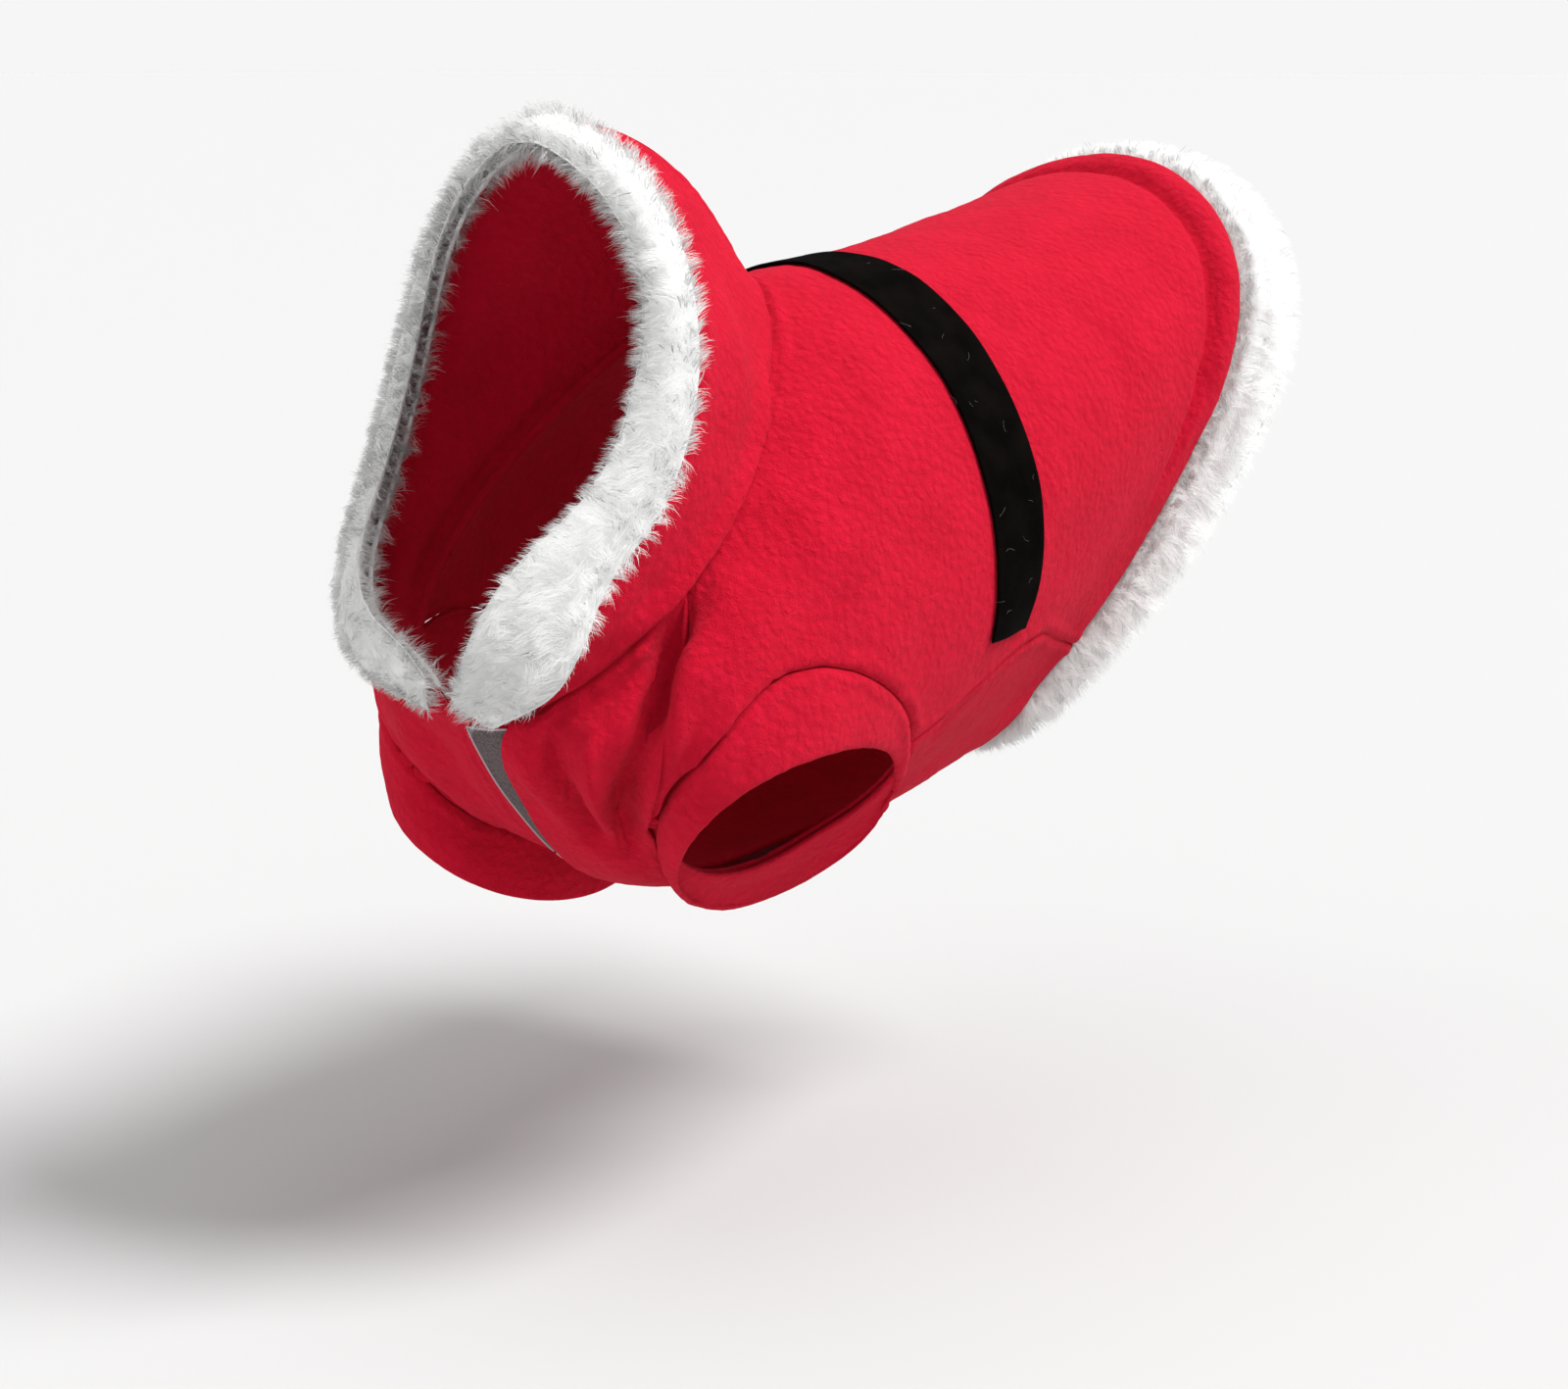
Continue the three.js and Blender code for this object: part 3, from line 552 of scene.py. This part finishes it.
def plush_material(name, root, tip, through=0.0):
    """White pile: each fibre is painted greyer at its root, as the shade deep in the pile, and lets some
    light through.
    """
    material, tree, shader = nodes_of(name)
    link = tree.links.new
    place = add_node(tree, "ShaderNodeTexCoord")
    lumps = add_node(tree, "ShaderNodeTexNoise", Scale=170.0, Detail=5.0, Roughness=0.65)
    link(place.outputs["Object"], lumps.inputs["Vector"])
    # Painted shade: the colour greys towards each fibre's root and in the hollows of the lumps.
    height = add_node(tree, "ShaderNodeAttribute", attribute_name="pile")
    painted_depth_shade = add_node(tree, "ShaderNodeMath", operation="MULTIPLY_ADD")
    painted_depth_shade.inputs[1].default_value = 0.3
    link(lumps.outputs["Fac"], painted_depth_shade.inputs[0])
    link(height.outputs["Fac"], painted_depth_shade.inputs[2])
    colour = tinted(tree, shader, painted_depth_shade.outputs["Value"], [(0.1, root), (0.85, tip)])
    bumped(tree, shader, lumps.outputs["Fac"], 0.4, 2 * MM)
    shader.inputs["Roughness"].default_value = 0.9
    shader.inputs["Specular IOR Level"].default_value = 0.2
    shader.inputs["Sheen Weight"].default_value = 0.15
    if through:
        glow = add_node(tree, "ShaderNodeBsdfTranslucent")
        link(colour, glow.inputs["Color"])
        both = add_node(tree, "ShaderNodeMixShader", Fac=through)
        link(shader.outputs["BSDF"], both.inputs[1])
        link(glow.outputs["BSDF"], both.inputs[2])
        link(both.outputs["Shader"], tree.nodes["Material Output"].inputs["Surface"])
    return material


def velvet_material():
    """Black velvet: a short dull pile that turns grey only at a glancing light."""
    material, tree, shader = nodes_of("black_velvet")
    place = add_node(tree, "ShaderNodeTexCoord")
    pile = add_node(tree, "ShaderNodeTexNoise", Scale=1500.0, Detail=3.0, Roughness=0.6)
    patches = add_node(tree, "ShaderNodeTexNoise", Scale=70.0, Detail=3.0)
    for node in (pile, patches):
        tree.links.new(place.outputs["Object"], node.inputs["Vector"])
    bumped(tree, shader, pile.outputs["Fac"], 0.5, 0.5 * MM)
    blacks = [(0.35, (0.0016, 0.0012, 0.001)), (0.75, (0.0042, 0.0032, 0.0026))]
    tinted(tree, shader, patches.outputs["Fac"], blacks)
    shader.inputs["Roughness"].default_value = 0.9
    shader.inputs["Specular IOR Level"].default_value = 0.015
    return material


def tape_material():
    """The loop side of a hook and loop tape: close rows of fine loops."""
    material, tree, shader = nodes_of("loop_tape")
    place = add_node(tree, "ShaderNodeTexCoord")
    loops = add_node(tree, "ShaderNodeTexVoronoi", Scale=1100.0, Randomness=0.7)
    tree.links.new(place.outputs["Object"], loops.inputs["Vector"])
    bumped(tree, shader, loops.outputs["Distance"], 0.6, 0.5 * MM)
    greys = [(0.0, (0.15, 0.11, 0.116)), (0.8, (0.045, 0.032, 0.035))]
    tinted(tree, shader, loops.outputs["Distance"], greys)
    shader.inputs["Roughness"].default_value = 0.8
    return material


def dress(obj, material, nodes=()):
    """Gives a piece its material and the body that it rides on, and hides the CAD nodes that it stands
    for.
    """
    obj.data.materials.append(material)
    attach(obj, "root")
    if nodes:
        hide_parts(*nodes)
    return obj


def arrays(obj):
    points = np.empty(len(obj.data.vertices) * 3)
    obj.data.vertices.foreach_get("co", points)
    normals = np.empty(len(obj.data.vertices) * 3)
    obj.data.vertices.foreach_get("normal", normals)
    return points.reshape(-1, 3), normals.reshape(-1, 3)


def random_roots(obj, count):
    """Random places all over a mesh, even by area, with the normal there."""
    mesh = obj.data
    mesh.calc_loop_triangles()
    corners = np.empty(len(mesh.loop_triangles) * 3, int)
    mesh.loop_triangles.foreach_get("vertices", corners)
    corners = corners.reshape(-1, 3)
    points, normals = arrays(obj)
    a, b, c = (points[corners[:, k]] for k in range(3))
    area = np.linalg.norm(np.cross(b - a, c - a), axis=1)
    pick = rng.choice(len(corners), count, p=area / area.sum())
    u, v = rng.random((2, count, 1))
    flip = u + v > 1
    u, v = np.where(flip, 1 - u, u), np.where(flip, 1 - v, v)
    weights = (1 - u - v, u, v)
    places = sum(w * points[corners[pick, k]] for k, w in enumerate(weights))
    ways = sum(w * normals[corners[pick, k]] for k, w in enumerate(weights))
    return places, unit(ways)


PILE_INSET = 3.4 * MM  # the backing lies this far under the reach of the pile
PILE_FIBRES = 62000  # in a band
EDGE_FIBRES = 6000  # of them, those that stand on the folded edge along the seam
PILE_WIDTH = 0.24 * MM
PILE_LIFT = 0.7  # how far each fibre's shading turns up, since light scatters down through the pile
CLUMP_FIBRES = 40
LONGEST_FIBRE = 9.5 * MM
SHORTEST_FIBRE = 2.6 * MM
SEAM_FIBRE = 4.0 * MM  # the fibres beside the seam are at least this much longer
STRAY_SHARE = 0.06  # of the fibres stand out past the others


def by_the_seam(points):
    """From 1 beside the fleece to 0 a pile's length away from it."""
    return 1 - smooth_step((distance_to(list(SEWN_TO), points) - 2.5 * MM) / (7 * MM))


def plush_core(name, node):
    """The plush's backing: the CAD solid's form, drawn in by about the length of the pile."""
    bm = bmesh.new()
    bm.from_mesh(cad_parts[node].data)
    bmesh.ops.remove_doubles(bm, verts=bm.verts, dist=WELD)
    bmesh.ops.join_triangles(
        bm, faces=bm.faces, angle_face_threshold=math.radians(35), angle_shape_threshold=math.radians(60)
    )
    solid = BVHTree.FromBMesh(bm)
    mesh = bpy.data.meshes.new(name)
    bm.to_mesh(mesh)
    bm.free()
    points, faces = refined(mesh, 2)
    points = relaxed(points, faces, 3)
    normals = point_normals(points, faces)
    inset = np.zeros(len(points))
    for i, (p, n) in enumerate(zip(points, normals)):
        _, _, _, depth = solid.ray_cast(Vector(p - n * 0.05 * MM), Vector(-n))
        inset[i] = min(PILE_INSET, 0.36 * (depth or 0))
    inset *= 1 - 0.7 * by_the_seam(points)
    points = points - normals * inset[:, None]
    points = relaxed(points, faces, 2)
    return made(name, points, [tuple(map(int, f)) for f in faces]), solid


def pile(name, core, edges, solid, lay_at):
    """The pile of a plush band as one mesh of fine tapered fibres, which lean in clumps."""
    roots, ways = random_roots(core, 2 * PILE_FIBRES)
    likely = 0.36 + by_the_seam(roots)
    kept = rng.choice(len(roots), PILE_FIBRES - EDGE_FIBRES, replace=False, p=likely / likely.sum())
    along = [random_roots(edge, EDGE_FIBRES // len(edges)) for edge in edges]
    roots = np.vstack([roots[kept]] + [places for places, _ in along])
    ways = np.vstack([ways[kept]] + [normals for _, normals in along])
    count = len(roots)
    lay = lay_at(roots)
    outwards = unit((roots - np.array(TRUNK_INSIDE)) * (1, 0, 1))
    clumps = count // CLUMP_FIBRES
    centres = roots[:clumps]
    tree = KDTree(clumps)
    for i, p in enumerate(centres):
        tree.insert(p, i)
    tree.balance()
    own = np.array([tree.find(p)[1] for p in roots])
    lean = rng.normal(0, 0.3, (clumps, 3))
    seam = by_the_seam(roots)[:, None]
    upright = ways * 0.9 + outwards * 0.35 + lay * 0.25
    base = ways * 0.8 + lay * 0.62 + np.array((0, 0, -0.16))
    base = unit(base * (1 - seam) + upright * seam + lean[own])
    towards = unit(centres[own] + base * 6 * MM - roots)
    ahead = unit(base * 0.62 + towards * 0.3 + rng.normal(0, 0.13, (count, 3)))
    reach = np.empty(count)
    for i, (p, d) in enumerate(zip(roots, ahead)):
        _, _, _, depth = solid.ray_cast(Vector(p), Vector(d))
        reach[i] = depth or 3 * MM
    shortest = SHORTEST_FIBRE + SEAM_FIBRE * seam[:, 0]
    length = np.clip(reach * rng.uniform(0.9, 1.2, count), shortest, LONGEST_FIBRE)
    stray = rng.random(count) < STRAY_SHARE
    length[stray] += rng.uniform(0.5, 2.6, stray.sum()) * MM
    facing = ways + ahead * 0.1 + lean[own] * 0.3 + np.array((0, 0, PILE_LIFT))
    facing = unit(facing + rng.normal(0, 0.07, (count, 3)))
    side = unit(np.cross(ahead, facing + rng.normal(0, 0.35, (count, 3))))
    bend = (unit(lay) * 0.16 + np.array((0, 0, -0.1)) + rng.normal(0, 0.07, (count, 3))) * length[:, None]
    middle = roots + ahead * (0.55 * length)[:, None] - bend * 0.12
    tips = roots + ahead * length[:, None] + bend * 0.8
    start = roots - ahead * 0.4 * MM
    width = (PILE_WIDTH * rng.uniform(0.7, 1.25, count) / 2)[:, None]
    corners = (start - side * width, start + side * width, middle + side * width * 0.75,
               middle - side * width * 0.75, tips)
    points = np.stack(corners, axis=1).reshape(-1, 3)
    first = np.arange(count) * 5
    quads = np.stack([first, first + 1, first + 2, first + 3], axis=1)
    ends = np.stack([first + 3, first + 2, first + 4], axis=1)
    obj = made(name, points, quads.tolist() + ends.tolist())
    # How far along each fibre a point lies; the material greys the roots with painted shade.
    height = np.tile((0.0, 0.0, 0.6, 0.6, 1.0), count)
    obj.data.attributes.new("pile", "FLOAT", "POINT").data.foreach_set("value", height)
    obj.data.normals_split_custom_set_from_vertices(np.repeat(facing, 5, axis=0).tolist())
    return obj


def hem_lay(roots):
    """The hem's pile lies away from the seam, out past the hem."""
    return np.tile(np.array(HEM_FACING), (len(roots), 1))


FACE_AHEAD = -0.165  # the hood's pile points at a line this far ahead, between these two heights
FACE_FOOT = -0.115
FACE_TOP = 0.03
PILE_DROP = 10 * MM  # and at a place on it that is this much lower than the root


def hood_lay(roots):
    """The hood's pile lies in towards the face opening."""
    middle = np.zeros(len(roots))
    ahead = np.full(len(roots), FACE_AHEAD)
    level = np.clip(roots[:, 2] - PILE_DROP, FACE_FOOT, FACE_TOP)
    return unit(np.stack([middle, ahead, level], axis=1) - roots)


red = fleece_material()
# Both plush colours run from a greyer first colour to a whiter second one; on the pile the grey is painted
# shade at the fibres' roots.
backing = plush_material("plush_backing", (0.68, 0.68, 0.675), (0.74, 0.74, 0.735))
white = plush_material("white_pile", (0.72, 0.72, 0.715), (0.79, 0.79, 0.785), through=0.25)
velvet = velvet_material()
tape_finish = tape_material()
selvedge_finish = plain_material("tape_edge", (0.42, 0.33, 0.345), 0.8)
lint_finish = plain_material("pale_lint", (0.16, 0.15, 0.14), 0.8)

# The fleece pieces: the hollow behind each, what it rests on, the cut's width and length and
# the area of the cut, in metres and square metres.
FLEECE_PIECES = [
    ("back_panel", TRUNK_INSIDE, [], (0.46, 0.34), 0.122),
    ("front_left", TRUNK_INSIDE, ["back_panel"], (0.11, 0.33), 0.0255),
    ("front_right", TRUNK_INSIDE, ["back_panel"], (0.14, 0.33), 0.034),
    ("sleeve_left", LEFT_SLEEVE_INSIDE, ["front_left", "back_panel"], (0.33, 0.03), 0.0078),
    ("sleeve_right", RIGHT_SLEEVE_INSIDE, ["front_right", "back_panel"], (0.33, 0.042), 0.011),
    ("hood_left", HOOD_INSIDE, ["back_panel"], (0.15, 0.21), 0.019),
    ("hood_right", HOOD_INSIDE, ["back_panel"], (0.15, 0.21), 0.019),
]
for node, inside, support, flat, area in FLEECE_PIECES:
    piece = shell(node + "_cloth", node, inside, FLEECE, cloth_offset)
    dress(piece, red, [node])

# The folded edges that close each seam from inside; the neck seam's are thicker
NECK_ALLOWANCE = 1.5
SEAMS = [
    ("sleeve_left", LEFT_SLEEVE_INSIDE, SEWN_TO["sleeve_left"]),
    ("sleeve_right", RIGHT_SLEEVE_INSIDE, SEWN_TO["sleeve_right"]),
    ("hood_left", HOOD_INSIDE, SEWN_TO["hood_left"]),
    ("hood_right", HOOD_INSIDE, ("back_panel", "front_right")),
    ("front_left", TRUNK_INSIDE, ("back_panel",)),
    ("front_right", TRUNK_INSIDE, ("back_panel",)),
]
for node, inside, others in SEAMS:
    for number, run in enumerate(seam_runs(node, inside, others)):
        thickness = NECK_ALLOWANCE if node in HOOD else 1
        edge = tube(f"{node}_seam_{number}", run, ALLOWANCE_RADIUS * thickness)
        dress(edge, red, [node])

# The plush bands, each with a folded edge along the seam where it meets the fleece
EDGE_PAST = 1.3 * MM  # this edge lies this far past the fleece's
EDGE_RADIUS = 1.0 * MM
PLUSH_PIECES = [
    ("hood_trim", HOOD_INSIDE, hood_lay, ["hood_left", "hood_right"], (0.033, 0.58), 0.0178),
    ("hem_trim", TRUNK_INSIDE, hem_lay, ["back_panel", "front_left", "front_right"], (0.036, 0.7), 0.0222),
]
for node, inside, lay_at, support, flat, area in PLUSH_PIECES:
    core, solid = plush_core(node + "_backing", node)
    dress(core, backing, [node])
    edges = []
    for cloth in support:
        for number, run in enumerate(seam_runs(cloth, inside, (node,), beyond=EDGE_PAST)):
            edge = tube(f"{node}_edge_{cloth}_{number}", run, EDGE_RADIUS)
            edges.append(dress(edge, backing, [node]))
    fur = pile(node + "_pile", core, edges, solid, lay_at)
    dress(fur, white, [node])
    fur.visible_shadow = False  # light filters through real pile

# The belt follows the back panel's folds
belt = shell("belt_cloth", "belt", TRUNK_INSIDE, VELVET, lambda name, p: cloth_form("back_panel", p))
dress(belt, velvet, ["belt"])

LINT_HAIRS = 46
LINT_RADIUS = 0.05 * MM


def lint_hair(name, place, normal):
    """A pale curled hair that lies on the velvet."""
    across = unit(np.cross(normal, rng.normal(0, 1, 3)))
    beside = np.cross(normal, across)
    length = rng.uniform(1.5, 6) * MM
    curl = rng.uniform(-0.9, 0.9)
    steps = np.linspace(-0.5, 0.5, 7)[:, None]
    path = place + across * steps * length + beside * curl * length * (steps**2 - 0.1)
    return tube(name, path + normal * (0.15 + 1.2 * steps**2) * MM, LINT_RADIUS, sides=3)


lint_roots = zip(*random_roots(belt, LINT_HAIRS))
hairs = [lint_hair(f"lint_{k}", place, normal) for k, (place, normal) in enumerate(lint_roots)]
bpy.ops.object.select_all(action="DESELECT")
for hair in hairs:
    hair.select_set(True)
bpy.context.view_layer.objects.active = hairs[0]
bpy.ops.object.join()
hairs[0].name = "belt_lint"
dress(hairs[0], lint_finish, ["belt"])

tape = shell("closure_tape_cloth", "closure_tape", TRUNK_INSIDE, TAPE, lambda name, p: np.zeros(len(p)))
dress(tape, tape_finish, ["closure_tape"])

# The tape's woven edges
SELVEDGE_RADIUS = 0.45 * MM
tape_rims = seam_runs("closure_tape", TRUNK_INSIDE, ("front_right",), wall=TAPE, depth=0, within=4 * MM)
for number, run in enumerate(tape_rims):
    selvedge = tube(f"closure_tape_edge_{number}", run, SELVEDGE_RADIUS)
    dress(selvedge, selvedge_finish, ["closure_tape"])

# The stage: a pale floor at the height where the wearer would stand
FLOOR_HEIGHT = -0.352
FLOOR_SIZE = 160
bpy.ops.mesh.primitive_plane_add(size=FLOOR_SIZE, location=(0, 0, FLOOR_HEIGHT))
floor = bpy.context.object
floor.name = "floor"
floor.data.materials.append(plain_material("pale_floor", (0.54, 0.54, 0.54), 0.9))


def soft_light(name, way, strength, spread):
    """A broad even light from one direction; its spread in degrees softens the shadows."""
    data = bpy.data.lights.new(name, "SUN")
    data.energy = strength
    data.angle = math.radians(spread)
    light = bpy.data.objects.new(name, data)
    light.rotation_mode = "QUATERNION"
    light.rotation_quaternion = Vector(way).to_track_quat("Z", "Y")
    bpy.context.scene.collection.objects.link(light)


soft_light("key", (0.75, 0.5, 1.2), 3.9, 24)
soft_light("top", (-0.1, 0.1, 1.0), 0.8, 60)
soft_light("fill", (-0.6, -1.0, 0.05), 1.35, 50)

# The sky is as bright as the floor at the horizon and dimmer above it
world = bpy.data.worlds.new("studio")
world.use_nodes = True
sky = world.node_tree.nodes["Background"]
way_up = add_node(world.node_tree, "ShaderNodeTexCoord")
parts = add_node(world.node_tree, "ShaderNodeSeparateXYZ")
height = colour_ramp(world.node_tree, [(0.06, (0.92, 0.92, 0.92)), (0.16, (0.41, 0.41, 0.41))])
world.node_tree.links.new(way_up.outputs["Generated"], parts.inputs["Vector"])
world.node_tree.links.new(parts.outputs["Z"], height.inputs["Fac"])
world.node_tree.links.new(height.outputs["Color"], sky.inputs["Color"])
sky.inputs["Strength"].default_value = 1
bpy.context.scene.world = world
bpy.context.scene.view_settings.view_transform = "Standard"

# The camera stands where the photograph was taken from
CAMERA_PLACE = (0.746, -0.8606, 0.0852)
CAMERA_AZIMUTH = math.radians(40.1)
CAMERA_ELEVATION = math.radians(12.2)
FOCAL_LENGTH = 67.5  # both in millimetres, as Blender counts them
SENSOR_WIDTH = 36
lens = bpy.data.cameras.new("camera")
lens.sensor_width = SENSOR_WIDTH
lens.lens = FOCAL_LENGTH
lens.clip_start = 0.01
camera = bpy.data.objects.new("camera", lens)
camera.location = CAMERA_PLACE
looking = -Vector((
    math.sin(CAMERA_AZIMUTH) * math.cos(CAMERA_ELEVATION),
    -math.cos(CAMERA_AZIMUTH) * math.cos(CAMERA_ELEVATION),
    math.sin(CAMERA_ELEVATION),
))
camera.rotation_mode = "QUATERNION"
camera.rotation_quaternion = looking.to_track_quat("-Z", "Y")
bpy.context.scene.collection.objects.link(camera)
bpy.context.scene.camera = camera
